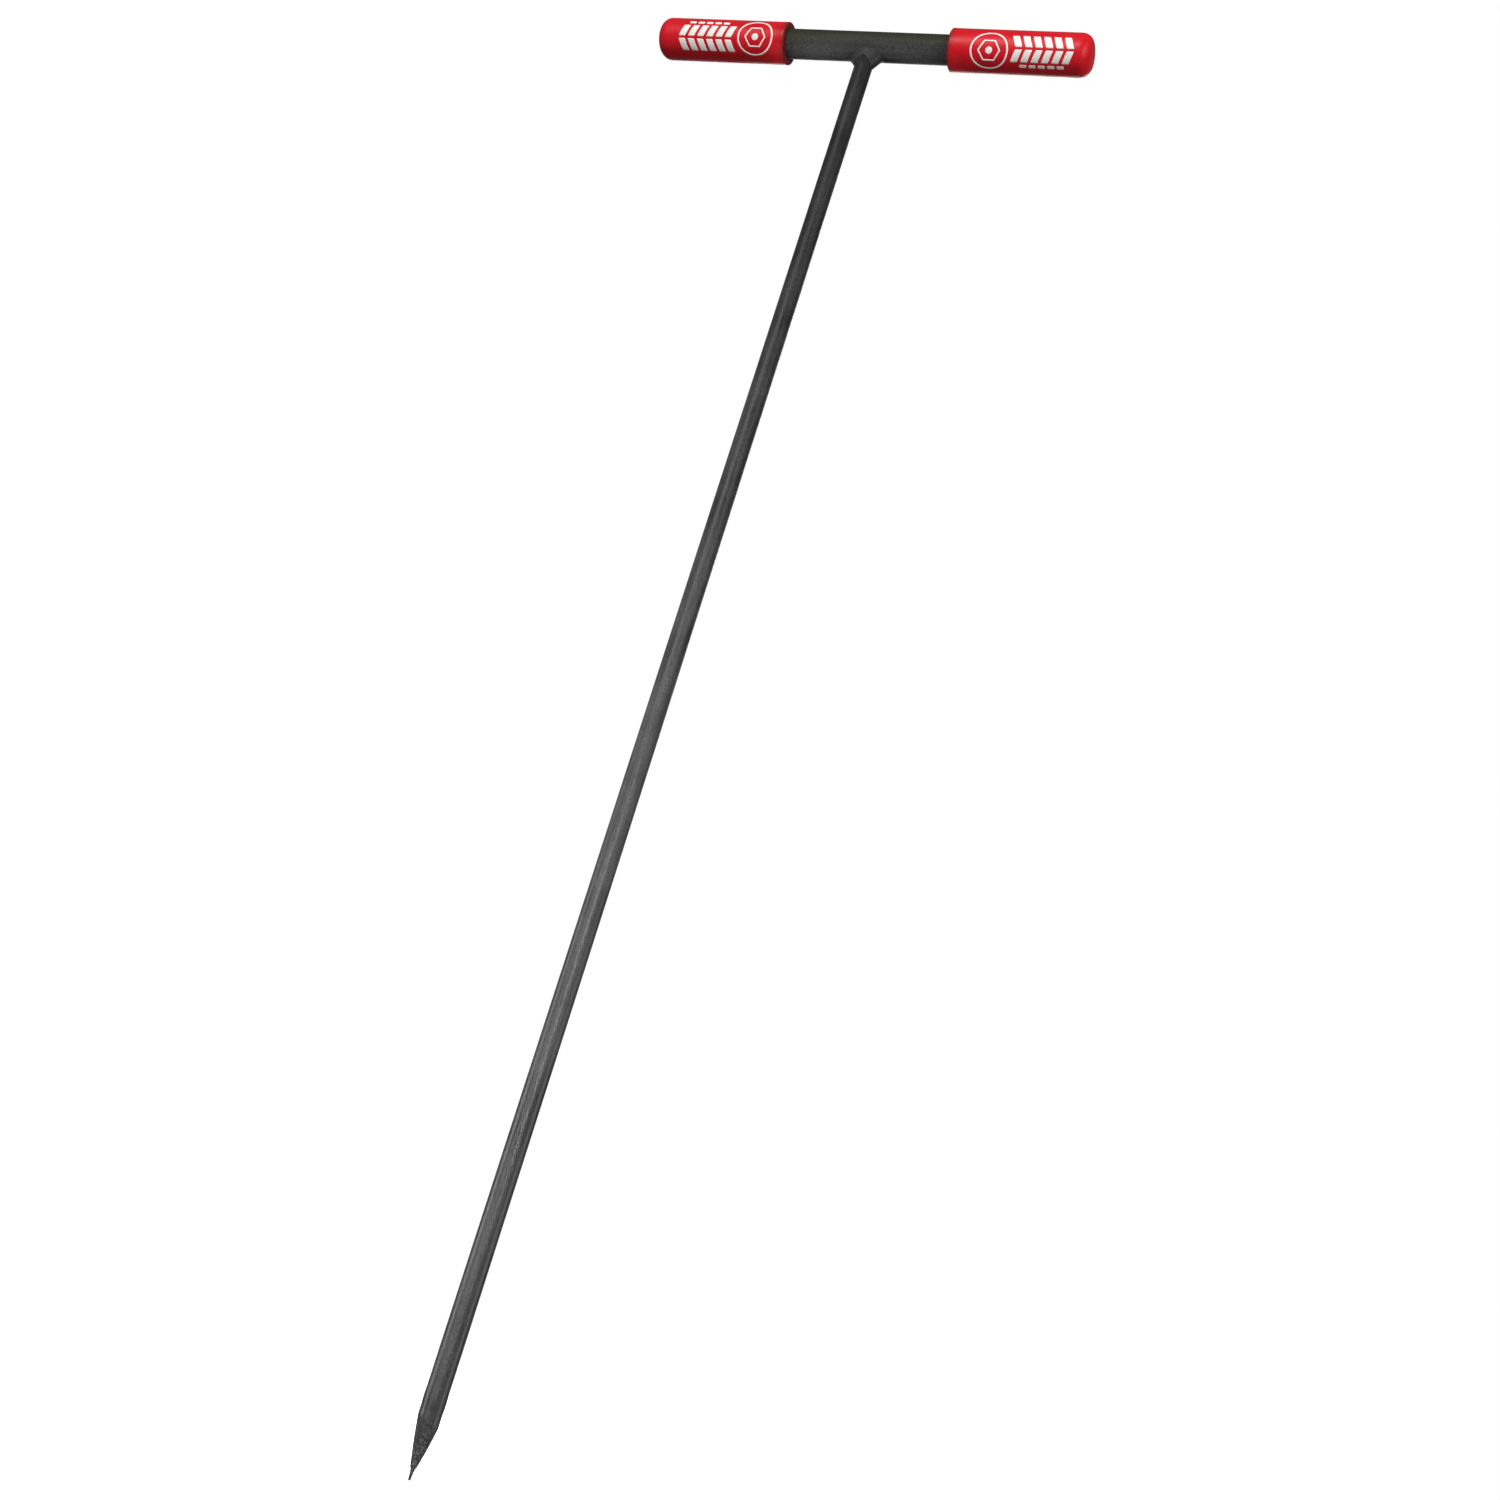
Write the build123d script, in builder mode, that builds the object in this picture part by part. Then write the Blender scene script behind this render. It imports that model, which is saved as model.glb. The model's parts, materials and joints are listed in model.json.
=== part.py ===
"""T-handled steel pilot bar: a pointed round bar, pushed or driven by hand, that opens the ground for a post.

The bar stands on its point. The origin is the tip, +Z runs up the bar, and the handle lies along X,
with the marked side of its grips towards -Y. All sizes are in millimetres.
"""
import os
from math import cos, radians, sin

from build123d import *

# Bar: 5/8 inch round stock with a ground point that ends in a short needle.
bar_radius = 15.875 / 2
handle_height = 1206.5  # tip to handle axis, 47.5 inches
cone_top = 38.5  # where the point starts, above the tip
cone_middle_height = 24.0
cone_middle_radius = 5.5  # the cone bulges a little, as a hand-ground point does
cone_end_height = 8.6
cone_end_radius = 2.2
needle_top = 7.8  # a small shoulder leads from the cone to the needle
needle_root_radius = 1.6
needle_tip_radius = 1.0

# Handle: 1 inch tube, 14 gauge, across the top of the bar.
tube_radius = 25.4 / 2
tube_wall = 2.1
tube_length = 381.0  # 15 inches

# Fillet weld where the bar meets the underside of the tube.
weld_leg_down = 11.0  # along the bar
weld_leg_along = 8.4  # along the tube
weld_side_reach = 2.0  # on the tube's flanks
weld_toe_lift = 0.4  # thickness of the weld's edge on the bar
weld_waist_drop = 5.0  # from the tube's underside to where the collar is hollowest
weld_waist_along = 2.7  # thickness there, along the tube
weld_waist_side = 1.2  # thickness there, on the flanks
weld_top_rise = 7.6  # from the tube's underside to the collar's top, before it is cut back
weld_prep_depth = 0.8  # the bar's end is turned down, so that the weld bites
weld_prep_margin = 0.2  # how far that shows below the weld's edge

# Grips: closed-end moulded vinyl sleeves, pushed over the tube ends.
grip_radius = 18.0
grip_length = 122.0
grip_end_wall = 5.2
grip_end_round = 10.0
grip_rim_round = 1.8
grip_mouth_chamfer = 0.6

# Printed mark on each grip: a ringed hexagon, a row of chevrons and a broken line.
print_thickness = 0.1
badge_size = 33.0
badge_line = 1.6
hexagon_size = 20.0
dot_size = 6.0
row_length = 54.0
row_height = 10.4  # half a chevron
row_gap = 2.0
chevrons = 6
chevron_lean = 4.0  # how far a chevron's half leans along the grip
chevron_gap = 2.8
line_length = 38.0
line_height = 2.8
dashes = 5
dash_gap = 2.0
badge_gap = 2.0
right_print_start = 20.5  # from the grip's open rim
left_print_start = 10.5
right_print_turn = 38.0  # degrees that the mark's middle is turned below the -Y side
left_print_turn = 27.0

half_tube = tube_length / 2
grip_outer_end = half_tube + grip_end_wall
grip_rim = grip_outer_end - grip_length
chevron_step = (row_length - chevron_lean + chevron_gap) / chevrons
chevron_width = chevron_step - chevron_gap
dash_length = (line_length - dash_gap * (dashes - 1)) / dashes
mark_length = badge_size + badge_gap + row_length
rows_height = 2 * row_height + 2 * row_gap + line_height
row_arcs = [(rows_height - row_height) / 2, (rows_height - row_height) / 2 - row_height - row_gap]
line_arc = (line_height - rows_height) / 2
tube_underside = handle_height - tube_radius
weld_bottom = tube_underside - weld_leg_down
turned_radius = bar_radius - weld_prep_depth
turned_bottom = weld_bottom - weld_prep_margin
handle_plane = Plane((0, 0, handle_height), x_dir=(1, 0, 0), z_dir=(0, -1, 0))
across_handle = Plane((0, 0, handle_height), x_dir=(0, 1, 0), z_dir=(1, 0, 0))

os.makedirs("parts", exist_ok=True)

# Bar: the profile is half of its length section. Its top is coped to sit on the tube.
with BuildPart() as shaft:
    with BuildSketch(Plane.XZ):
        with BuildLine():
            Line((0, 0), (0, handle_height))
            Line((0, handle_height), (turned_radius, handle_height))
            Line((turned_radius, handle_height), (turned_radius, turned_bottom))
            Line((turned_radius, turned_bottom), (bar_radius, turned_bottom))
            Line((bar_radius, turned_bottom), (bar_radius, cone_top))
            ThreePointArc(
                (bar_radius, cone_top),
                (cone_middle_radius, cone_middle_height),
                (cone_end_radius, cone_end_height),
            )
            Line((cone_end_radius, cone_end_height), (needle_root_radius, needle_top))
            Line((needle_root_radius, needle_top), (needle_tip_radius, needle_tip_radius))
            RadiusArc((needle_tip_radius, needle_tip_radius), (0, 0), needle_tip_radius)
        make_face()
    revolve(axis=Axis.Z)
    with BuildSketch(across_handle):
        Circle(tube_radius)
    extrude(amount=tube_length, both=True, mode=Mode.SUBTRACT)
shaft.part.label = "shaft"
export_step(shaft.part, "parts/shaft.step")

# Handle: open tube across the top of the bar.
with BuildPart() as handle_tube:
    with BuildSketch(across_handle):
        Circle(tube_radius)
        Circle(tube_radius - tube_wall, mode=Mode.SUBTRACT)
    extrude(amount=half_tube, both=True)
handle_tube.part.label = "handle_tube"
export_step(handle_tube.part, "parts/handle_tube.step")

# Weld: a collar that flares from the bar out on to the tube, cut back to both of them.
with BuildPart() as tee_weld:
    with BuildSketch(Plane.XY.offset(weld_bottom)):
        Circle(bar_radius + weld_toe_lift)
    with BuildSketch(Plane.XY.offset(tube_underside - weld_waist_drop)):
        Ellipse(bar_radius + weld_waist_along, bar_radius + weld_waist_side)
    with BuildSketch(Plane.XY.offset(tube_underside)):
        Ellipse(bar_radius + weld_leg_along, bar_radius + weld_side_reach)
    with BuildSketch(Plane.XY.offset(tube_underside + weld_top_rise)):
        Ellipse(bar_radius + weld_leg_along, bar_radius + weld_side_reach)
    loft()
    with BuildSketch(across_handle):
        Circle(tube_radius)
    extrude(amount=tube_length, both=True, mode=Mode.SUBTRACT)
    with BuildSketch(Plane.XY.offset(weld_bottom)):
        Circle(turned_radius)
    extrude(amount=weld_leg_down + weld_top_rise, mode=Mode.SUBTRACT)
tee_weld.part.label = "tee_weld"
export_step(tee_weld.part, "parts/tee_weld.step")

# Grips: a closed-end sleeve turned about the handle's axis, and its mirror image.
with BuildPart() as right_grip:
    with BuildSketch(handle_plane):
        with BuildLine():
            Polyline(
                (grip_rim, tube_radius),
                (half_tube, tube_radius),
                (half_tube, 0),
                (grip_outer_end, 0),
                (grip_outer_end, grip_radius),
                (grip_rim, grip_radius),
                close=True,
            )
        make_face()
    revolve(axis=Axis((0, 0, handle_height), (1, 0, 0)))
    rings = edges().filter_by(GeomType.CIRCLE).group_by(Axis.X)
    mouth = rings[0].sort_by(SortBy.RADIUS)
    fillet(rings[-1], radius=grip_end_round)
    fillet(mouth[-1], radius=grip_rim_round)
    chamfer(mouth[0], length=grip_mouth_chamfer)
right_grip.part.label = "right_grip"
export_step(right_grip.part, "parts/right_grip.step")

with BuildPart() as left_grip:
    mirror(right_grip.part, about=Plane.YZ)
left_grip.part.label = "left_grip"
export_step(left_grip.part, "parts/left_grip.step")


def flat(arc):
    """Height on a flat plane of a point that lies this far round the grip's surface."""
    return grip_radius * sin(arc / grip_radius)


def hexagon(radius):
    """Corners of a hexagon that looks regular once it is wrapped round the grip."""
    turns = [radians(60 * corner) for corner in range(6)]
    return [(radius * cos(turn), flat(radius * sin(turn))) for turn in turns]


def mark_plane(side, start, turn):
    """Plane through the grip's axis under a mark's middle, with x running out along the grip."""
    middle = side * (grip_rim + start + mark_length / 2)
    facing = (0, -cos(radians(turn)), -sin(radians(turn)))
    return Plane((middle, 0, handle_height), x_dir=(side, 0, 0), z_dir=facing)


def chevron_half(lean, top, bottom):
    """Corners of a chevron's upper or lower half, which leans towards the row's middle line."""
    half = chevron_width / 2
    shift = lean * chevron_lean / 2
    return [(-half - shift, top), (half - shift, top), (half + shift, bottom), (-half + shift, bottom)]


def draw_mark():
    """Mark as seen flat: the badge at the grip's inner end, then the chevrons and the broken line."""
    badge_x = (badge_size - mark_length) / 2
    rows_x = (mark_length - row_length) / 2
    with Locations((badge_x, 0)):
        Ellipse(badge_size / 2, flat(badge_size / 2))
        Ellipse(badge_size / 2 - badge_line, flat(badge_size / 2 - badge_line), mode=Mode.SUBTRACT)
        Polygon(*hexagon(hexagon_size / 2), align=None)
        Polygon(*hexagon(hexagon_size / 2 - badge_line), align=None, mode=Mode.SUBTRACT)
        Ellipse(dot_size / 2, flat(dot_size / 2))
    with Locations((rows_x, 0)):
        with GridLocations(chevron_step, 0, chevrons, 1):
            for lean, arc in zip((1, -1), row_arcs):
                top = flat(arc + row_height / 2)
                bottom = flat(arc - row_height / 2)
                Polygon(*chevron_half(lean, top, bottom), align=None)
    line_top = flat(line_arc + line_height / 2)
    line_bottom = flat(line_arc - line_height / 2)
    with Locations((rows_x, (line_top + line_bottom) / 2)):
        with GridLocations(dash_length + dash_gap, 0, dashes, 1):
            Rectangle(dash_length, line_top - line_bottom)


# Marks: a thin layer of ink on each grip. The left mark is the same one turned end for end.
marks = [
    ("right_grip_print", 1, right_print_start, right_print_turn),
    ("left_grip_print", -1, left_print_start, left_print_turn),
]
for name, side, start, turn in marks:
    with BuildPart() as grip_print:
        with BuildSketch(mark_plane(side, start, turn)):
            draw_mark()
        extrude(amount=2 * grip_radius)
        with BuildSketch(across_handle):
            Circle(grip_radius + print_thickness)
            Circle(grip_radius, mode=Mode.SUBTRACT)
        extrude(amount=grip_outer_end, both=True, mode=Mode.INTERSECT)
    grip_print.part.label = name
    export_step(grip_print.part, f"parts/{name}.step")
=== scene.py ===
"""Looks of the T-handled pilot bar: coated steel, hand-laid weld, vinyl grips and worn ink marks.

Everything is in metres in the part's own frame: the tip is the origin, +Z runs up the bar, the handle
lies along X, and the marks face -Y.
"""

import json
from math import cos, floor, hypot, pi, radians, sin, sqrt, tau

import bmesh
import bpy
from mathutils import Matrix, Vector, noise


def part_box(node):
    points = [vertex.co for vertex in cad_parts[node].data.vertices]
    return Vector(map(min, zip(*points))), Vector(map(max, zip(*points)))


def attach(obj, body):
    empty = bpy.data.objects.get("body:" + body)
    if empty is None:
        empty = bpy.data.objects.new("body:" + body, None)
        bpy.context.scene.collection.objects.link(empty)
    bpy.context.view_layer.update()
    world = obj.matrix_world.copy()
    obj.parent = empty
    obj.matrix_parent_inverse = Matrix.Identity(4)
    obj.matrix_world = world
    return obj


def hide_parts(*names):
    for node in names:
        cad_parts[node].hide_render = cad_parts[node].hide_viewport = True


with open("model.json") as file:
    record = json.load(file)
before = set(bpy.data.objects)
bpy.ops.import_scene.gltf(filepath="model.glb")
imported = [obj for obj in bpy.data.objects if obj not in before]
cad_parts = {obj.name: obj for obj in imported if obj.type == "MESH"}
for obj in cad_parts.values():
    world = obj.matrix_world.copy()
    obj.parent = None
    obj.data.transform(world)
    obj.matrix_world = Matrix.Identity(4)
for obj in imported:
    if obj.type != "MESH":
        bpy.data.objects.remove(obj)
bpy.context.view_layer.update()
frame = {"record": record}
mounts = {mount["name"]: mount for mount in frame["record"]["mounts"]}
MM = 0.001

# Sizes read from the frame.
bar_mount = mounts["bar"]
bar_radius = bar_mount["dims"]["r_mm"] * MM
bar_half = bar_mount["dims"]["length_mm"] * MM / 2
cone_top = bar_mount["pos_m"][2] - bar_half
bar_top_edge = bar_mount["pos_m"][2] + bar_half
handle_height = mounts["right_grip"]["pos_m"][2]
tube_low, tube_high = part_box("handle_tube")
tube_radius = (tube_high[1] - tube_low[1]) / 2
tube_end = tube_high[0]
grip_low, grip_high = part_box("right_grip")
grip_rim = grip_low[0]
grip_end = grip_high[0]
grip_radius = mounts["right_grip"]["dims"]["r_mm"] * MM
weld_low, weld_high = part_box("tee_weld")
tube_underside = handle_height - tube_radius


# ---------------------------------------------------------------- mesh helpers

def new_piece(name, points, faces, material, node):
    """Smooth-shaded mesh object that rides on the tool and stands for a CAD node."""
    mesh = bpy.data.meshes.new(name)
    mesh.from_pydata([tuple(point) for point in points], [], faces)
    mesh.validate()
    tidy = bmesh.new()
    tidy.from_mesh(mesh)
    bmesh.ops.recalc_face_normals(tidy, faces=tidy.faces)
    tidy.to_mesh(mesh)
    tidy.free()
    for face in mesh.polygons:
        face.use_smooth = True
    piece = bpy.data.objects.new(name, mesh)
    bpy.context.scene.collection.objects.link(piece)
    mesh.materials.append(material)
    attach(piece, "root")
    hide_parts(node)
    return piece


def ring_faces(rings, around, closed=False, start=0):
    """Quads between rings of points. A closed form joins its last ring to its first."""
    faces = []
    for ring in range(rings if closed else rings - 1):
        here = start + ring * around
        there = start + (ring + 1) % rings * around
        for step in range(around):
            after = (step + 1) % around
            faces.append((here + step, here + after, there + after, there + step))
    return faces


def arc(centre, radius, first, last, steps):
    """Points on a round corner, as (along, out), with angles in degrees from the along axis."""
    turns = [radians(first + (last - first) * step / steps) for step in range(steps + 1)]
    return [(centre[0] + radius * cos(turn), centre[1] + radius * sin(turn)) for turn in turns]


def spread(first, last, steps):
    """Evenly spaced values between two ends, without the ends."""
    return [first + (last - first) * step / steps for step in range(1, steps)]


# ---------------------------------------------------------------- material helpers

def new_material(name):
    material = bpy.data.materials.new(name)
    material.use_nodes = True
    return material, material.node_tree.nodes, material.node_tree.links


def add_noise(nodes, links, scale, detail=3.0, roughness=0.55, stretch=(1, 1, 1)):
    """Noise in the object's own metres, so that its grain keeps its real size."""
    place = nodes.new("ShaderNodeTexCoord")
    mapping = nodes.new("ShaderNodeMapping")
    mapping.inputs["Scale"].default_value = stretch
    texture = nodes.new("ShaderNodeTexNoise")
    texture.inputs["Scale"].default_value = scale
    texture.inputs["Detail"].default_value = detail
    texture.inputs["Roughness"].default_value = roughness
    links.new(place.outputs["Object"], mapping.inputs["Vector"])
    links.new(mapping.outputs["Vector"], texture.inputs["Vector"])
    return texture.outputs["Fac"]


def add_ramp(nodes, links, source, stops):
    """Colour ramp with (place, colour) stops. A plain number stands for a grey."""
    ramp = nodes.new("ShaderNodeValToRGB")
    elements = ramp.color_ramp.elements
    while len(elements) < len(stops):
        elements.new(0.5)
    for element, (place, colour) in zip(elements, stops):
        element.position = place
        grey = isinstance(colour, (int, float))
        element.color = (colour, colour, colour, 1) if grey else (*colour, 1)
    links.new(source, ramp.inputs["Fac"])
    return ramp.outputs["Color"]


def add_mix(nodes, links, share, first, second, blend="MIX"):
    """Mix of two colours, each a socket or a fixed colour. The share is a socket or a number."""
    mix = nodes.new("ShaderNodeMix")
    mix.data_type = "RGBA"
    mix.blend_type = blend
    for socket, value in ((mix.inputs[0], share), (mix.inputs[6], first), (mix.inputs[7], second)):
        if isinstance(value, bpy.types.NodeSocket):
            links.new(value, socket)
        elif isinstance(value, tuple):
            socket.default_value = (*value, 1)
        else:
            socket.default_value = value
    return mix.outputs[2]


def add_band(nodes, links, axis, full, none):
    """Share that is 1 at the distance full from the origin along an axis, and fades to 0 at none."""
    place = nodes.new("ShaderNodeTexCoord")
    split = nodes.new("ShaderNodeSeparateXYZ")
    size = nodes.new("ShaderNodeMath")
    size.operation = "ABSOLUTE"
    fade = nodes.new("ShaderNodeMapRange")
    fade.inputs["From Min"].default_value = full
    fade.inputs["From Max"].default_value = none
    fade.inputs["To Min"].default_value = 1.0
    fade.inputs["To Max"].default_value = 0.0
    links.new(place.outputs["Object"], split.inputs["Vector"])
    links.new(split.outputs[axis], size.inputs[0])
    links.new(size.outputs[0], fade.inputs["Value"])
    return fade.outputs["Result"]


def add_product(nodes, links, first, second):
    product = nodes.new("ShaderNodeMath")
    product.operation = "MULTIPLY"
    links.new(first, product.inputs[0])
    links.new(second, product.inputs[1])
    return product.outputs[0]


def add_bump(nodes, links, height, distance, strength=1.0, before=None):
    bump = nodes.new("ShaderNodeBump")
    bump.inputs["Distance"].default_value = distance
    bump.inputs["Strength"].default_value = strength
    links.new(height, bump.inputs["Height"])
    if before is not None:
        links.new(before, bump.inputs["Normal"])
    return bump.outputs["Normal"]


# ---------------------------------------------------------------- materials

bare_steel = (0.13, 0.125, 0.12)
# Colour of a painted olive reflection on the top of the tube.
olive = (0.028, 0.030, 0.0165)
vinyl_dark = (0.62, 0.007, 0.015)
vinyl_light = (0.76, 0.011, 0.022)
# Colour of painted shade along the grip's open rim, where it meets the tube.
painted_rim_shade = (0.16, 0.012, 0.012)
# Colour of painted shade on the grip's mouth.
painted_mouth_shade = (0.045, 0.010, 0.009)
thick_ink = (0.98, 0.95, 0.90)
thin_ink = (0.80, 0.16, 0.15)


def powder_coat(name, dark, light, along, specular, roughness, worn_below=0.0, reflection_band=None):
    """Semi-matt black coat: orange peel, mottled grain, cloudy tone and rub marks along the stock.

    Below worn_below it is chipped. A band given by two heights paints a faint olive reflection on the top,
    which fades in between them.
    """
    material, nodes, links = new_material(name)
    shader = nodes["Principled BSDF"]
    cloud = add_noise(nodes, links, 28, detail=4)
    rubs = add_noise(nodes, links, 190, detail=1, stretch=along)
    mottle = add_noise(nodes, links, 640, detail=3, roughness=0.65)
    speck = add_noise(nodes, links, 1700, detail=2)
    tone = add_ramp(nodes, links, cloud, [(0.35, dark), (0.68, light)])
    rubbed = add_ramp(nodes, links, rubs, [(0.46, 0.0), (0.82, 0.45)])
    scuffed = tuple(channel * 1.8 for channel in light)
    tone = add_mix(nodes, links, rubbed, tone, scuffed)
    # Painted reflection: an olive tint of warm surroundings on the top of the stock, fading in between two
    # heights.
    if reflection_band:
        reflection_low, reflection_high = reflection_band
        reflection_share = add_band(nodes, links, "Z", reflection_high, reflection_low)
        reflection_strength = add_ramp(nodes, links, cloud, [(0.3, 0.55), (0.6, 0.95)])
        tone = add_mix(nodes, links, add_product(nodes, links, reflection_share, reflection_strength), tone, olive)
    patches = add_ramp(nodes, links, mottle, [(0.32, 0.5), (0.68, 1.5)])
    tone = add_mix(nodes, links, 0.85, tone, patches, "MULTIPLY")
    grain = add_ramp(nodes, links, speck, [(0.3, 0.78), (0.7, 1.22)])
    tone = add_mix(nodes, links, 0.6, tone, grain, "MULTIPLY")
    if worn_below:
        low = add_band(nodes, links, "Z", worn_below / 6, worn_below)
        chips = add_ramp(nodes, links, mottle, [(0.50, 0.0), (0.64, 1.0)])
        bare = add_product(nodes, links, low, chips)
        tone = add_mix(nodes, links, bare, tone, bare_steel)
    links.new(tone, shader.inputs["Base Color"])
    gloss = add_ramp(nodes, links, cloud, [(0.3, roughness - 0.05), (0.7, roughness + 0.06)])
    links.new(gloss, shader.inputs["Roughness"])
    normal = add_bump(nodes, links, mottle, 0.00013, 0.6)
    normal = add_bump(nodes, links, speck, 0.00003, 0.5, normal)
    links.new(normal, shader.inputs["Normal"])
    shader.inputs["Specular IOR Level"].default_value = specular
    return material


def red_vinyl():
    """Moulded vinyl: satin skin with a fine grain, faint clouding, soft dents, and painted shade at the rim
    and in the mouth.
    """
    material, nodes, links = new_material("red_vinyl")
    shader = nodes["Principled BSDF"]
    cloud = add_noise(nodes, links, 45, detail=4)
    tone = add_ramp(nodes, links, cloud, [(0.3, vinyl_dark), (0.7, vinyl_light)])
    mottle = add_noise(nodes, links, 520, detail=3, roughness=0.6)
    patches = add_ramp(nodes, links, mottle, [(0.3, 0.84), (0.7, 1.12)])
    tone = add_mix(nodes, links, 0.7, tone, patches, "MULTIPLY")
    fine = add_noise(nodes, links, 2600, detail=2)
    grain = add_ramp(nodes, links, fine, [(0.3, 0.9), (0.7, 1.1)])
    tone = add_mix(nodes, links, 0.5, tone, grain, "MULTIPLY")
    # Painted shade: the skin darkens in patches towards the open rim, where the grip meets the tube.
    rim = add_band(nodes, links, "X", grip_rim + 0.8 * MM, grip_rim + 7 * MM)
    shade_patches = add_ramp(nodes, links, mottle, [(0.25, 0.35), (0.7, 0.95)])
    tone = add_mix(nodes, links, add_product(nodes, links, rim, shade_patches), tone, painted_rim_shade)
    # Painted shade: the mouth's end face is painted dark, as if turned away from the light, and is also made
    # rough.
    mouth = add_band(nodes, links, "X", grip_rim + 0.5 * MM, grip_rim + 1.5 * MM)
    mouth_shade_share = add_product(nodes, links, mouth, shade_patches)
    tone = add_mix(nodes, links, mouth_shade_share, tone, painted_mouth_shade)
    links.new(tone, shader.inputs["Base Color"])
    gloss = add_ramp(nodes, links, cloud, [(0.3, 0.34), (0.7, 0.46)])
    gloss = add_mix(nodes, links, mouth_shade_share, gloss, (0.9, 0.9, 0.9))
    links.new(gloss, shader.inputs["Roughness"])
    dents = add_noise(nodes, links, 170, detail=2)
    normal = add_bump(nodes, links, dents, 0.00025, 0.35)
    normal = add_bump(nodes, links, fine, 0.00004, 0.6, normal)
    links.new(normal, shader.inputs["Normal"])
    shader.inputs["Specular IOR Level"].default_value = 0.2
    return material


def white_ink():
    """Printed ink: chalky off-white, thin in places so that some red shows through."""
    material, nodes, links = new_material("white_ink")
    shader = nodes["Principled BSDF"]
    patch = add_noise(nodes, links, 420, detail=5, roughness=0.65)
    thin = add_ramp(nodes, links, patch, [(0.58, 0.0), (0.74, 0.6)])
    tone = add_mix(nodes, links, thin, thick_ink, thin_ink)
    links.new(tone, shader.inputs["Base Color"])
    shader.inputs["Roughness"].default_value = 0.5
    links.new(add_bump(nodes, links, patch, 0.00005, 0.6), shader.inputs["Normal"])
    return material


bar_coat = powder_coat(
    "black_coat_bar",
    dark=(0.014, 0.014, 0.0144),
    light=(0.028, 0.028, 0.0288),
    along=(1, 1, 0.06),
    specular=0.2,
    roughness=0.41,
    worn_below=42 * MM,
)
tube_coat = powder_coat(
    "black_coat_tube",
    dark=(0.022, 0.0225, 0.0218),
    light=(0.037, 0.0375, 0.0365),
    along=(0.06, 1, 1),
    specular=0.15,
    roughness=0.58,
    # The band paints the olive reflection on the tube's top.
    reflection_band=(handle_height - 0.7 * tube_radius, handle_height),
)
# Painted shade: the weld's coat is a darker copy of the same black coat, so that the weld in the corner
# between bar and tube reads as shaded.
shaded_weld_coat = powder_coat(
    "black_coat_weld",
    dark=(0.012, 0.012, 0.0116),
    light=(0.022, 0.022, 0.021),
    along=(1, 1, 1),
    specular=0.25,
    roughness=0.5,
)
vinyl = red_vinyl()
ink = white_ink()


# ---------------------------------------------------------------- bar

BAR_AROUND = 144
cone_end = 8.6 * MM
cone_end_radius = 2.2 * MM
needle_root = 7.8 * MM
needle_root_radius = 1.6 * MM
needle_tip_radius = 1.0 * MM
cone_bulge = 0.33 * MM
shoulder_tilt = 3.0 * MM  # the point is ground a little higher on one side
shoulder_high_side = radians(202)
shoulder_round = 0.5 * MM
settle_length = 30 * MM
swell_height = 0.25 * MM
swell_middle = cone_top + 14 * MM
swell_length = 16 * MM
flats_on_cone = 9
flat_depth = 0.09 * MM
bar_unevenness = 0.02 * MM


def bar_profile():
    """Heights and radii up the bar: rounded needle, small shoulder, bulging cone, then straight stock."""
    rows = [(height, out) for out, height in arc((0, needle_tip_radius), needle_tip_radius, -84, 0, 8)]
    for height in spread(needle_tip_radius, needle_root, 14):
        share = (height - needle_tip_radius) / (needle_root - needle_tip_radius)
        rows.append((height, needle_tip_radius + (needle_root_radius - needle_tip_radius) * share ** 1.6))
    for step in range(7):
        share = step / 6
        height = needle_root + (cone_end - needle_root) * share
        rows.append((height, needle_root_radius + (cone_end_radius - needle_root_radius) * share ** 0.6))
    for height in spread(cone_end, cone_top, 46) + [cone_top - shoulder_round, cone_top]:
        share = (height - cone_end) / (cone_top - cone_end)
        out = cone_end_radius + (bar_radius - cone_end_radius) * share
        rows.append((height, out + cone_bulge * sin(pi * share)))
    for height in [cone_top + shoulder_round] + spread(cone_top, cone_top + settle_length, 30):
        rows.append((height, bar_radius))
    for height in spread(cone_top + settle_length, bar_top_edge, 90) + [bar_top_edge]:
        rows.append((height, bar_radius))
    return sorted(rows)


def shoulder_share(height):
    """How far the tilt of the ground shoulder moves a ring of the bar: all of it at the shoulder."""
    below = (height - cone_end) / (cone_top - cone_end)
    above = 1 - (height - cone_top) / settle_length
    return max(0.0, min(below, above))


def make_bar():
    points = []
    rows = bar_profile()
    for height, radius in rows:
        swell = 0.0
        if abs(height - swell_middle) < swell_length / 2:
            swell = swell_height * cos(pi * (height - swell_middle) / swell_length) ** 2
        ground = sin(pi * min(1.0, max(0.0, (height - cone_end) / (cone_top - cone_end))))
        for step in range(BAR_AROUND):
            turn = tau * step / BAR_AROUND
            uneven = noise.noise(Vector((3 * cos(turn), 3 * sin(turn), height * 18)))
            cut = 0.5 + 0.5 * cos(flats_on_cone * turn + 2.2 * uneven + height * 40)
            out = radius + swell + ground * flat_depth * (0.5 - cut) + bar_unevenness * uneven
            lift = shoulder_tilt * cos(turn - shoulder_high_side) * shoulder_share(height)
            points.append(Vector((out * cos(turn), out * sin(turn), height + lift)))
    for step in range(BAR_AROUND):
        turn = tau * step / BAR_AROUND
        across = bar_radius * sin(turn)
        under_tube = handle_height - sqrt(tube_radius ** 2 - across ** 2)
        points.append(Vector((bar_radius * cos(turn), across, under_tube)))
    faces = ring_faces(len(rows) + 1, BAR_AROUND)
    faces.append(tuple(range(BAR_AROUND)))
    faces.append(tuple(len(points) - 1 - step for step in range(BAR_AROUND)))
    return new_piece("bar", points, faces, bar_coat, "shaft")


# ---------------------------------------------------------------- handle tube

TUBE_AROUND = 160
tube_wall = 2.1 * MM
tube_edge = 0.4 * MM
tube_unevenness = 0.025 * MM


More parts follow.
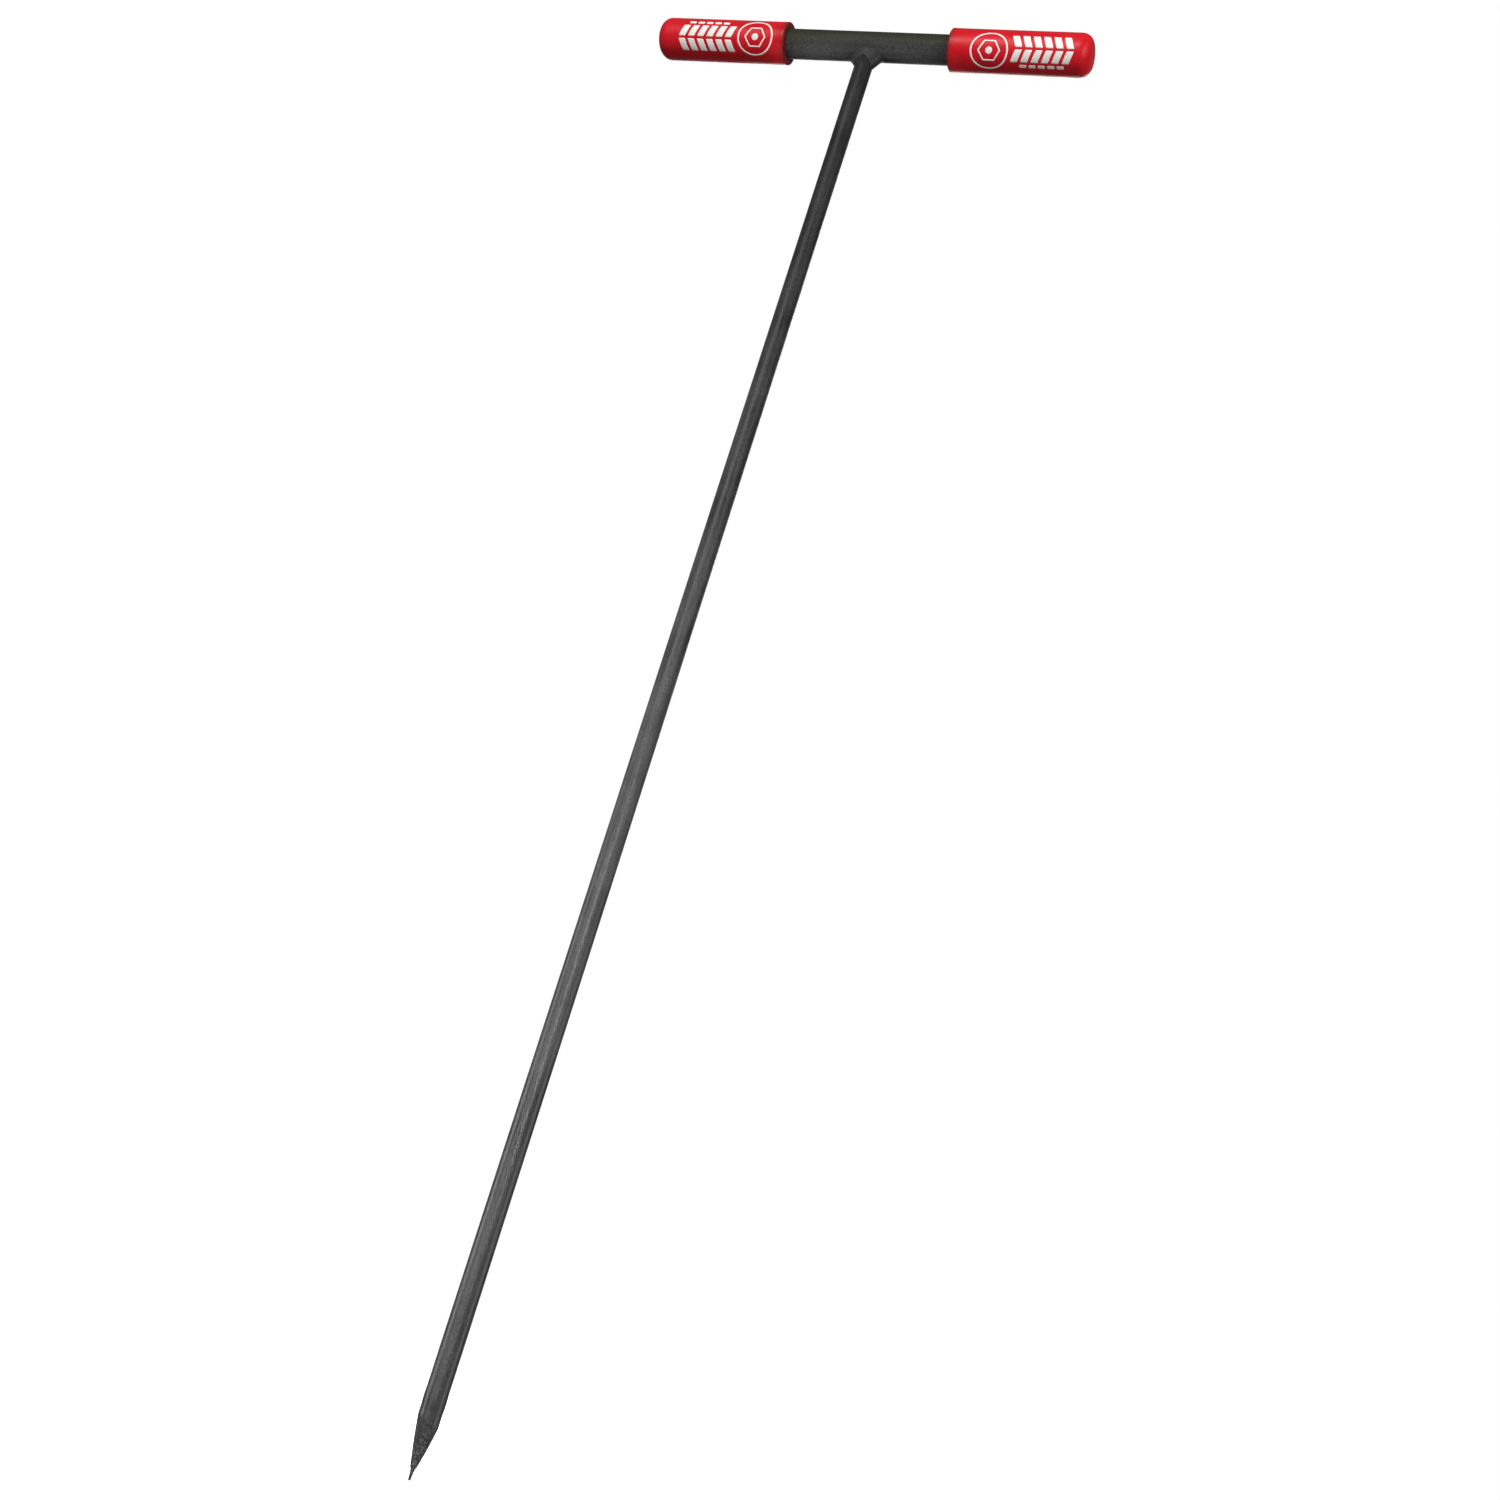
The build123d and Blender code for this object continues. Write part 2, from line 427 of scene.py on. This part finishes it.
def make_tube():
    """Open tube with broken edges at both ends, which the grips cover."""
    inner = tube_radius - tube_wall
    outside = [-tube_end + tube_edge] + spread(-tube_end, tube_end, 60) + [tube_end - tube_edge]
    section = [(along, tube_radius) for along in outside]
    section += [(tube_end, tube_radius - tube_edge), (tube_end, inner)]
    section += [(along, inner) for along in spread(tube_end, -tube_end, 12)]
    section += [(-tube_end, inner), (-tube_end, tube_radius - tube_edge)]
    points = []
    for along, radius in section:
        for step in range(TUBE_AROUND):
            turn = tau * step / TUBE_AROUND
            out = radius
            if radius == tube_radius:
                out += tube_unevenness * noise.noise(Vector((along * 30, 2 * cos(turn), 2 * sin(turn))))
            points.append(Vector((along, out * cos(turn), handle_height + out * sin(turn))))
    faces = ring_faces(len(section), TUBE_AROUND, closed=True)
    return new_piece("handle_tube_coated", points, faces, tube_coat, "handle_tube")


# ---------------------------------------------------------------- weld

WELD_AROUND = 420
WELD_ACROSS = 30
BACK_ACROSS = 8
ripple_pitch = 1.9 * MM
ripple_height = 0.22 * MM
ripple_bow = 2.3  # how far each ripple bends back towards the bead's edges, in pitches
lump_height = 0.45 * MM
toe_wander_along = 0.3 * MM
toe_wander_down = 0.5 * MM
weld_sag = 0.6 * MM
weld_depth = 0.35 * MM  # how far the bead's back lies inside the bar and the tube
leg_down_right = tube_underside - weld_low[2] - 0.4 * MM
leg_down_left = 10.0 * MM
leg_down_sides = 5.0 * MM
side_reach = weld_high[1] - 1.0 * MM
start_knob_height = 1.6 * MM  # the run starts and ends in a knob on the left of the marked side
start_knob_turn = radians(222)
start_knob_width = radians(34)


def weld_toes(turn, inset=0.0):
    """Edge of the bead on the bar and its edge on the tube, in one direction from the bar's axis."""
    wander = toe_wander_along * noise.noise(Vector((1.7 * cos(turn), 1.7 * sin(turn), 4.0)))
    reach_along = weld_high[0] + wander
    across = (side_reach - inset) * sin(turn)
    on_tube_height = handle_height - sqrt((tube_radius - inset) ** 2 - across ** 2)
    on_tube = Vector(((reach_along - inset) * cos(turn), across, on_tube_height))
    leg = leg_down_right if cos(turn) > 0 else leg_down_left
    leg = leg_down_sides + (leg - leg_down_sides) * abs(cos(turn)) ** 1.5
    wander = toe_wander_down * noise.noise(Vector((2.1 * cos(turn), 2.1 * sin(turn), 9.0)))
    beside = handle_height - sqrt(tube_radius ** 2 - (bar_radius * sin(turn)) ** 2)
    out = bar_radius - inset
    on_bar = Vector((out * cos(turn), out * sin(turn), beside - leg + wander))
    return on_bar, on_tube


def knob_share(turn, share):
    """Height of the knob where the weld run starts and ends, as a share of its full height."""
    off = (turn - start_knob_turn) / start_knob_width
    if abs(off) > 1:
        return 0.0
    return cos(pi * off / 2) ** 2 * sin(pi * share) ** 0.8


def make_weld():
    """Bead of overlapping crescents that fills the corner between the bar and the tube."""
    points = []
    ripples = floor(tau * (bar_radius + weld_high[0]) / 2 / ripple_pitch)
    for across in range(WELD_ACROSS + 1):
        share = across / WELD_ACROSS
        middle = sin(pi * share)
        for step in range(WELD_AROUND):
            turn = tau * step / WELD_AROUND
            on_bar, on_tube = weld_toes(turn)
            outward = Vector((cos(turn), 0.7 * sin(turn), -0.75)).normalized()
            wander = noise.noise(Vector((2.6 * cos(turn), 2.6 * sin(turn), 1.0)))
            phase = ripples * turn / tau + ripple_bow * (share - 0.5) ** 2 + 0.5 * wander
            crescent = phase - floor(phase)
            ripple = ripple_height * (1 - (2 * crescent - 0.9) ** 2) * middle ** 0.6
            lump = lump_height * noise.noise(Vector((4 * cos(turn), 4 * sin(turn), 3 * share))) * middle
            sag = weld_sag * middle * abs(cos(turn))
            knob = start_knob_height * knob_share(turn, share)
            points.append(on_bar.lerp(on_tube, share) + outward * (ripple + lump + knob - sag))
    for across in range(1, BACK_ACROSS):
        share = 1 - across / BACK_ACROSS
        for step in range(WELD_AROUND):
            turn = tau * step / WELD_AROUND
            on_bar, on_tube = weld_toes(turn, weld_depth)
            corner = Vector((on_bar.x, on_bar.y, handle_height - sqrt(tube_radius ** 2 - on_bar.y ** 2)))
            corner.z += weld_depth
            points.append(on_bar.lerp(corner, share).lerp(corner.lerp(on_tube, share), share))
    faces = ring_faces(WELD_ACROSS + BACK_ACROSS, WELD_AROUND, closed=True)
    return new_piece("weld_bead", points, faces, shaded_weld_coat, "tee_weld")


# ---------------------------------------------------------------- grips

GRIP_AROUND = 200
end_round = 10.0 * MM
rim_round = 1.6 * MM
mouth_round = 0.5 * MM
bore_end = tube_end + 0.2 * MM
rim_bead_height = 0.18 * MM
rim_bead_middle = grip_rim + 2.4 * MM
rim_bead_half = 2.2 * MM
grip_unevenness = 0.09 * MM
bore_gap = 0.03 * MM
bore_margin = 1.5 * MM  # the wall nearer to the bore than this stays true
end_core = 0.3 * MM  # radius of the small disc that closes each end face


def grip_section():
    """Outline of the grip's wall as (along, out): from the bore's end, round the mouth, to the closed end."""
    bore = tube_radius + bore_gap
    rows = [(bore_end, end_core)]
    rows += [(bore_end, out) for out in spread(end_core, bore, 4)]
    rows += [(bore_end, bore)]
    rows += [(along, bore) for along in spread(bore_end, grip_rim + mouth_round, 14)]
    rows += arc((grip_rim + mouth_round, bore + mouth_round), mouth_round, 270, 180, 4)
    rows += arc((grip_rim + rim_round, grip_radius - rim_round), rim_round, 180, 90, 8)
    straight_end = grip_end - end_round
    rows += [(along, grip_radius) for along in spread(grip_rim + rim_round, straight_end, 44)]
    rows += arc((straight_end, grip_radius - end_round), end_round, 90, 0, 18)
    rows += [(grip_end, out) for out in spread(grip_radius - end_round, end_core, 8)]
    rows += [(grip_end, end_core)]
    return rows


def make_grip(name, node, side, seed):
    """Vinyl sleeve: not quite round or straight, with a soft end and a slightly swollen rim."""
    points = []
    rows = grip_section()
    for along, radius in rows:
        outer = radius > tube_radius + bore_margin
        rim = rim_bead_height * max(0.0, 1 - abs(along - rim_bead_middle) / rim_bead_half)
        for step in range(GRIP_AROUND):
            turn = tau * step / GRIP_AROUND
            out = radius
            if outer:
                wave = noise.noise(Vector((along * 22 + seed, 1.3 * cos(turn), 1.3 * sin(turn))))
                out += grip_unevenness * wave + rim
            points.append(Vector((side * along, out * cos(turn), handle_height + out * sin(turn))))
    faces = ring_faces(len(rows), GRIP_AROUND)
    faces.append(tuple(range(GRIP_AROUND)))
    faces.append(tuple(len(points) - 1 - step for step in range(GRIP_AROUND)))
    return new_piece(name, points, faces, vinyl, node)


# ---------------------------------------------------------------- ink marks

ink_height = 0.10 * MM
ink_root = 0.15 * MM
edge_wander = 0.16 * MM
edge_waviness = 900  # noise cycles per metre along a printed edge
filled_core = 0.02  # a filled shape's innermost ring, as a share of its outline
badge_size = 33.0 * MM
badge_line = 1.5 * MM
hexagon_size = 20.0 * MM
dot_size = 6.0 * MM
row_length = 54.0 * MM
row_height = 10.4 * MM
row_gap = 2.0 * MM
chevrons = 6
chevron_lean = 4.0 * MM
chevron_gap = 2.8 * MM
line_length = 38.0 * MM
line_height = 2.8 * MM
dashes = 5
dash_gap = 2.0 * MM
corner_round = 0.9 * MM
outline_pitch = 0.8 * MM
mark_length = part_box("right_grip_print")[1][0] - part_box("right_grip_print")[0][0]

# Piece, its CAD node, its side, degrees that its middle is turned below the -Y side, and noise seed.
MARKS = [
    ("right_mark", "right_grip_print", 1, 38.0, 1),
    ("left_mark", "left_grip_print", -1, 27.0, 2),
]


def bend(start, control, end, steps):
    """Points on a smooth corner between two straight sides."""
    points = []
    for step in range(steps + 1):
        share = step / steps
        first, second, third = (1 - share) ** 2, 2 * share * (1 - share), share ** 2
        points.append(tuple(first * a + second * b + third * c for a, b, c in zip(start, control, end)))
    return points


def soft_outline(corners):
    """Outline of a flat shape with softened corners, as (along, up) points close to one another."""
    points = []
    count = len(corners)
    for index, corner in enumerate(corners):
        ends = []
        for other in (corners[index - 1], corners[(index + 1) % count]):
            share = corner_round / hypot(other[0] - corner[0], other[1] - corner[1])
            ends.append(tuple(here + (there - here) * share for here, there in zip(corner, other)))
        points += bend(ends[0], corner, ends[1], 5)
    dense = []
    for here, there in zip(points, points[1:] + points[:1]):
        steps = max(1, round(hypot(there[0] - here[0], there[1] - here[1]) / outline_pitch))
        for step in range(steps):
            share = step / steps
            dense.append(tuple(a + (b - a) * share for a, b in zip(here, there)))
    return dense


def polygon_outline(radius, corners, count):
    """Regular outline with this many corners, or a circle for none, as (along, up) points."""
    points = []
    for step in range(count):
        turn = tau * step / count
        out = radius
        if corners:
            slice_turn = tau / corners
            off = (turn % slice_turn) - slice_turn / 2
            out = radius * cos(slice_turn / 2) / cos(off)
        points.append((out * cos(turn), out * sin(turn)))
    return points


def slanted_block(width, height, lean):
    """Corners of a block whose top is moved back and whose foot is moved forward by half the lean."""
    half = width / 2
    shift = lean / 2
    top = height / 2
    return [(half - shift, top), (-half - shift, top), (-half + shift, -top), (half + shift, -top)]


def mark_shapes():
    """Flat shapes of a mark, as (middle, outer outline, inner outline or None)."""
    badge = ((badge_size - mark_length) / 2, 0.0)
    shapes = []
    for radius, corners in ((badge_size / 2, 0), (hexagon_size / 2, 6)):
        outer = polygon_outline(radius, corners, 180)
        inner = polygon_outline(radius - badge_line, corners, 180)
        shapes.append((badge, outer, inner))
    shapes.append((badge, polygon_outline(dot_size / 2, 0, 48), None))
    rows_x = (mark_length - row_length) / 2
    rows_height = 2 * row_height + 2 * row_gap + line_height
    step = (row_length - chevron_lean + chevron_gap) / chevrons
    for row, lean in enumerate((chevron_lean, -chevron_lean)):
        up = (rows_height - row_height) / 2 - row * (row_height + row_gap)
        outline = soft_outline(slanted_block(step - chevron_gap, row_height, lean))
        for place in range(chevrons):
            shapes.append(((rows_x + (place - (chevrons - 1) / 2) * step, up), outline, None))
    dash_length = (line_length - dash_gap * (dashes - 1)) / dashes
    outline = soft_outline(slanted_block(dash_length, line_height, 0.0))
    for place in range(dashes):
        along = rows_x + (place - (dashes - 1) / 2) * (dash_length + dash_gap)
        shapes.append(((along, (line_height - rows_height) / 2), outline, None))
    return shapes


def make_mark(name, node, side, turn_down, seed):
    """Ink that follows the grip's surface. Its edges wander slightly, as printed ink does."""
    low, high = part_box(node)
    mark_middle = (low[0] + high[0]) / 2
    points = []
    faces = []
    for middle, outer, inner in mark_shapes():
        count = len(outer)
        levels = 2 if inner else 6
        start = len(points)
        for level in range(levels + 1):
            share = level / levels
            for step in range(count):
                edge = outer[step]
                core = inner[step] if inner else (filled_core * edge[0], filled_core * edge[1])
                along = middle[0] + core[0] + (edge[0] - core[0]) * share
                up = middle[1] + core[1] + (edge[1] - core[1]) * share
                if level == levels or (inner and level == 0):
                    place = Vector((along * edge_waviness, up * edge_waviness, seed))
                    rough = noise.noise(place) * edge_wander
                    size = hypot(edge[0], edge[1])
                    along += rough * edge[0] / size
                    up += rough * edge[1] / size
                angle = side * up / grip_radius - radians(turn_down)
                out = grip_radius + ink_height
                height = handle_height + out * sin(angle)
                points.append(Vector((mark_middle + side * along, -out * cos(angle), height)))
        for level in (levels, 0):
            for step in range(count):
                source = points[start + level * count + step]
                radial = Vector((0, source.y, source.z - handle_height)).normalized()
                points.append(source - radial * (ink_height + ink_root))
        rings = levels + 3
        faces += ring_faces(rings, count, closed=bool(inner), start=start)
        if not inner:
            last = start + (rings - 1) * count
            faces.append(tuple(start + step for step in range(count)))
            faces.append(tuple(last + count - 1 - step for step in range(count)))
    return new_piece(name, points, faces, ink, node)


make_bar()
make_tube()
make_weld()
make_grip("left_grip_vinyl", "left_grip", -1, 11.0)
make_grip("right_grip_vinyl", "right_grip", 1, 5.0)
for name, node, side, turn_down, seed in MARKS:
    make_mark(name, node, side, turn_down, seed)


# ---------------------------------------------------------------- stage, light and camera

def make_floor():
    """Wide white floor under the tip. It glows evenly, so that it stays white, and lights nothing."""
    half = 12.0
    steps = 24
    points = []
    for row in range(steps + 1):
        for column in range(steps + 1):
            points.append((half * (2 * column / steps - 1), half * (2 * row / steps - 1), 0.0))
    faces = []
    for row in range(steps):
        for column in range(steps):
            corner = row * (steps + 1) + column
            faces.append((corner, corner + 1, corner + steps + 2, corner + steps + 1))
    mesh = bpy.data.meshes.new("floor")
    mesh.from_pydata(points, [], faces)
    floor_object = bpy.data.objects.new("floor", mesh)
    bpy.context.scene.collection.objects.link(floor_object)
    material, nodes, _ = new_material("floor")
    shader = nodes["Principled BSDF"]
    shader.inputs["Base Color"].default_value = (0.9, 0.9, 0.9, 1)
    shader.inputs["Roughness"].default_value = 0.9
    shader.inputs["Specular IOR Level"].default_value = 0.1
    shader.inputs["Emission Color"].default_value = (1, 1, 1, 1)
    shader.inputs["Emission Strength"].default_value = 1.0
    mesh.materials.append(material)
    floor_object.visible_diffuse = False
    floor_object.visible_glossy = False


def add_area(name, place, aim, size, power, spread_angle=180):
    """Soft rectangular light. A small spread angle keeps it on the part of the tool it aims at."""
    light = bpy.data.lights.new(name, "AREA")
    light.spread = radians(spread_angle)
    light.shape = "RECTANGLE"
    light.size = size[0]
    light.size_y = size[1]
    light.energy = power
    lamp = bpy.data.objects.new(name, light)
    lamp.location = place
    lamp.rotation_euler = (Vector(aim) - Vector(place)).to_track_quat("-Z", "Y").to_euler()
    lamp.visible_camera = False
    bpy.context.scene.collection.objects.link(lamp)


def set_world(backdrop, fill):
    """White backdrop for the camera, and a dimmer even fill for the object."""
    world = bpy.data.worlds.new("studio")
    bpy.context.scene.world = world
    world.use_nodes = True
    nodes, links = world.node_tree.nodes, world.node_tree.links
    shown = nodes["Background"]
    shown.inputs["Color"].default_value = (1, 1, 1, 1)
    shown.inputs["Strength"].default_value = backdrop
    around = nodes.new("ShaderNodeBackground")
    around.inputs["Color"].default_value = (1, 1, 1, 1)
    around.inputs["Strength"].default_value = fill
    path = nodes.new("ShaderNodeLightPath")
    mix = nodes.new("ShaderNodeMixShader")
    links.new(path.outputs["Is Camera Ray"], mix.inputs[0])
    links.new(around.outputs[0], mix.inputs[1])
    links.new(shown.outputs[0], mix.inputs[2])
    links.new(mix.outputs[0], nodes["World Output"].inputs["Surface"])


def add_camera(place, pan, tilt, roll, lens):
    """Camera turned left by pan and up by tilt from the +Y direction, rolled so that the tool leans right."""
    camera = bpy.data.cameras.new("camera")
    camera.sensor_width = 36
    camera.lens = lens
    camera.clip_end = 60
    holder = bpy.data.objects.new("camera", camera)
    turned = Matrix.Rotation(radians(pan), 4, "Z") @ Matrix.Rotation(radians(90 + tilt), 4, "X")
    holder.matrix_world = Matrix.Translation(place) @ turned @ Matrix.Rotation(radians(roll), 4, "Z")
    bpy.context.scene.collection.objects.link(holder)
    bpy.context.scene.camera = holder


make_floor()
set_world(backdrop=1.0, fill=0.14)
handle_middle = (0, 0, handle_height)
bar_middle = (0, 0, 0.7)
low_bar = (0, 0, 0.34)
weld_underside = (-0.01, 0, tube_underside)

# Broad soft lights on the handle, and one for the back.
add_area("front_high", (-0.3, -2.4, 1.85), handle_middle, (1.2, 1.0), 44)
add_area("right_high", (2.0, -1.1, 1.7), handle_middle, (0.8, 0.8), 8)
add_area("right_end", (1.25, -0.75, 1.0), (grip_end, 0, handle_height), (0.6, 0.6), 8)
add_area("rim_high", (-0.9, 1.5, 2.2), handle_middle, (1.0, 0.6), 5)
add_area("back_soft", (-0.3, 2.2, 2.0), (0, 0, 0.75), (1.4, 1.2), 28)

# Narrow beams on the bare tube's underside, the weld and the middle of the bar.
add_area("under_right", (0.15, -0.12, 0.3), (0.05, 0, handle_height), (0.03, 0.03), 0.0032, 5)
add_area("under_left", (-0.15, -0.12, 0.3), (-0.05, 0, handle_height), (0.03, 0.03), 0.0028, 5)
add_area("weld_left", (-0.9, -0.3, 0.55), weld_underside, (0.04, 0.04), 0.009, 4)
add_area("side_left", (-1.3, 0.0, 0.55), bar_middle, (0.3, 0.5), 0.27, 18)

# Upright strips round the lower bar, which draw the streaks along it.
add_area("strip_near", (0.72, -1.58, 0.62), low_bar, (0.25, 0.6), 1.9, 40)
add_area("strip_front", (-0.35, -1.5, 0.35), low_bar, (0.25, 0.9), 1.1, 40)
add_area("strip_left", (-1.25, -0.6, 0.35), low_bar, (0.4, 0.9), 1.6, 40)
add_area("strip_right", (1.35, 0.35, 0.35), low_bar, (0.6, 0.9), 1.0, 40)

add_camera(Vector((0.537, -1.2291, 0.0912)), pan=20.338, tilt=19.136, roll=16.749, lens=45.054)
bpy.context.scene.view_settings.view_transform = "Standard"
